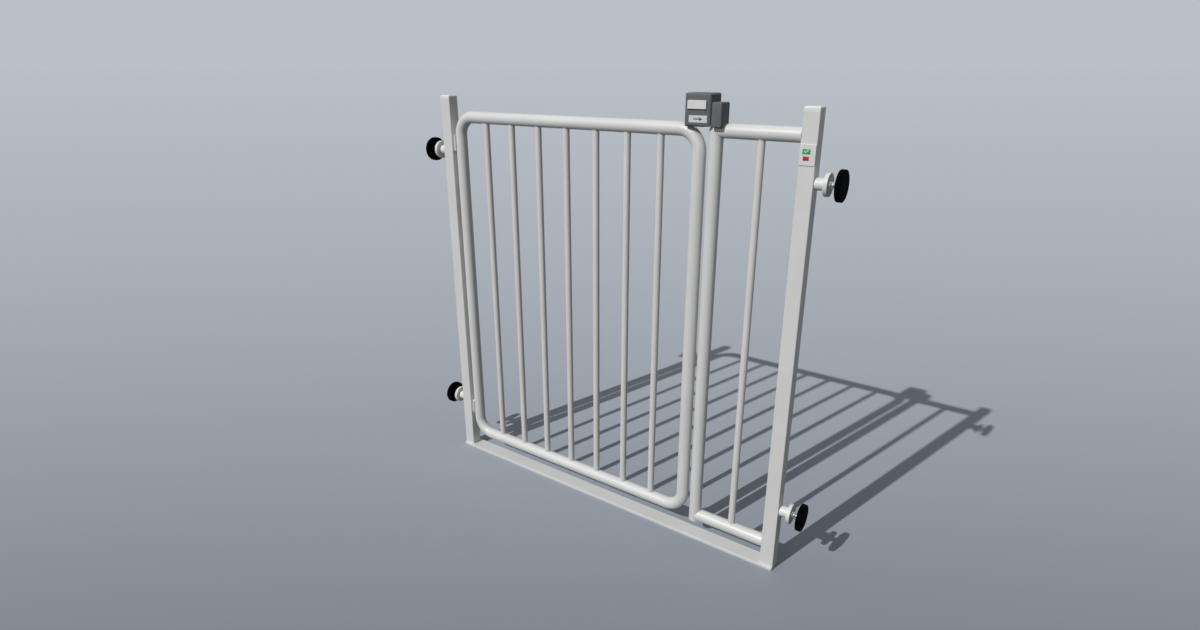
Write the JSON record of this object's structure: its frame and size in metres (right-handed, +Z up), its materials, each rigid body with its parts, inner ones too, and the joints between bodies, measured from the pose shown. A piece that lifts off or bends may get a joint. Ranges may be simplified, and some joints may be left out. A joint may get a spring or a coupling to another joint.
{
  "type": "baby safety gate",
  "caption": "Pressure-fit safety gate with posts on a threshold bar, a hinged barred door, a fixed side panel, a push-button latch and screw-out wall pads.",
  "frame": {"origin": "centre of the threshold bar's flat underside, on the floor in the middle of the doorway", "axes": "+X across the doorway from the hinge side to the latch side, +Y through the doorway away from the button side, +Z up"},
  "size_m": [0.8182, 0.0454, 0.7795],
  "materials": {
    "powder_coat": "satin white powder coat on steel tube",
    "cap_plastic": "moulded white end cap",
    "white_plastic": "moulded white plastic, fine satin",
    "hinge_plastic": "moulded white bushing",
    "latch_plastic": "dark grey moulded plastic, fine texture",
    "label_film": "printed white film",
    "zinc_steel": "bright zinc-plated thread",
    "pad_rubber": "black moulded rubber"
  },
  "bodies": {
    "frame": {"threshold": "powder_coat", "left_post": "powder_coat", "right_post": "powder_coat", "left_post_cap": "cap_plastic", "right_post_cap": "cap_plastic", "fixed_upright": "powder_coat", "fixed_top_rail": "powder_coat", "fixed_bottom_rail": "powder_coat", "fixed_bar": "powder_coat", "catch_block": "latch_plastic", "indicator_plate": "white_plastic", "hinge_upper": "hinge_plastic", "hinge_lower": "hinge_plastic", "collar_left_top": "white_plastic", "collar_left_bottom": "white_plastic", "collar_right_top": "white_plastic", "collar_right_bottom": "white_plastic"},
    "door": {"door_tube": "powder_coat", "door_bar_1": "powder_coat", "door_bar_2": "powder_coat", "door_bar_3": "powder_coat", "door_bar_4": "powder_coat", "door_bar_5": "powder_coat", "door_bar_6": "powder_coat", "door_bar_7": "powder_coat", "latch_lug": "zinc_steel", "latch_housing": "latch_plastic", "latch_label": "label_film"},
    "button": {"latch_button": "white_plastic"},
    "wheel_left_top": {"wheel_left_top": "white_plastic"},
    "screw_left_top": {"spindle_left_top": "zinc_steel", "pad_left_top": "pad_rubber"},
    "wheel_left_bottom": {"wheel_left_bottom": "white_plastic"},
    "screw_left_bottom": {"spindle_left_bottom": "zinc_steel", "pad_left_bottom": "pad_rubber"},
    "wheel_right_top": {"wheel_right_top": "white_plastic"},
    "screw_right_top": {"spindle_right_top": "zinc_steel", "pad_right_top": "pad_rubber"},
    "wheel_right_bottom": {"wheel_right_bottom": "white_plastic"},
    "screw_right_bottom": {"spindle_right_bottom": "zinc_steel", "pad_right_bottom": "pad_rubber"}
  },
  "joints": [
    {"name": "door_swing", "type": "hinge", "parent": "frame", "child": "door", "pos_m": [-0.3288, 0, 0.045], "axis": [0, 0, -1], "range_deg": [0, 90]},
    {"name": "button_press", "type": "slide", "parent": "door", "child": "button", "axis": [0, 1, 0], "range_m": [0, 0.0025], "stiffness_N_per_m": 400, "springref_m": -0.003},
    {"name": "wheel_turn_left_top", "type": "hinge", "parent": "frame", "child": "wheel_left_top", "pos_m": [-0.3866, 0, 0.661], "axis": [-1, 0, 0], "range_deg": [-1080, 3600]},
    {"name": "screw_out_left_top", "type": "slide", "parent": "frame", "child": "screw_left_top", "axis": [-1, 0, 0], "range_m": [-0.006, 0.02]},
    {"name": "wheel_turn_left_bottom", "type": "hinge", "parent": "frame", "child": "wheel_left_bottom", "pos_m": [-0.3866, 0, 0.117], "axis": [-1, 0, 0], "range_deg": [-1080, 3600]},
    {"name": "screw_out_left_bottom", "type": "slide", "parent": "frame", "child": "screw_left_bottom", "axis": [-1, 0, 0], "range_m": [-0.006, 0.02]},
    {"name": "wheel_turn_right_top", "type": "hinge", "parent": "frame", "child": "wheel_right_top", "pos_m": [0.3866, 0, 0.661], "axis": [1, 0, 0], "range_deg": [-1080, 3600]},
    {"name": "screw_out_right_top", "type": "slide", "parent": "frame", "child": "screw_right_top", "axis": [1, 0, 0], "range_m": [-0.006, 0.02]},
    {"name": "wheel_turn_right_bottom", "type": "hinge", "parent": "frame", "child": "wheel_right_bottom", "pos_m": [0.3866, 0, 0.117], "axis": [1, 0, 0], "range_deg": [-1080, 3600]},
    {"name": "screw_out_right_bottom", "type": "slide", "parent": "frame", "child": "screw_right_bottom", "axis": [1, 0, 0], "range_m": [-0.006, 0.02]}
  ],
  "couplings": [
    {"joint": "wheel_turn_left_top", "follows": "screw_out_left_top", "rad_per_m": 3141.6},
    {"joint": "wheel_turn_left_bottom", "follows": "screw_out_left_bottom", "rad_per_m": 3141.6},
    {"joint": "wheel_turn_right_top", "follows": "screw_out_right_top", "rad_per_m": 3141.6},
    {"joint": "wheel_turn_right_bottom", "follows": "screw_out_right_bottom", "rad_per_m": 3141.6}
  ]
}
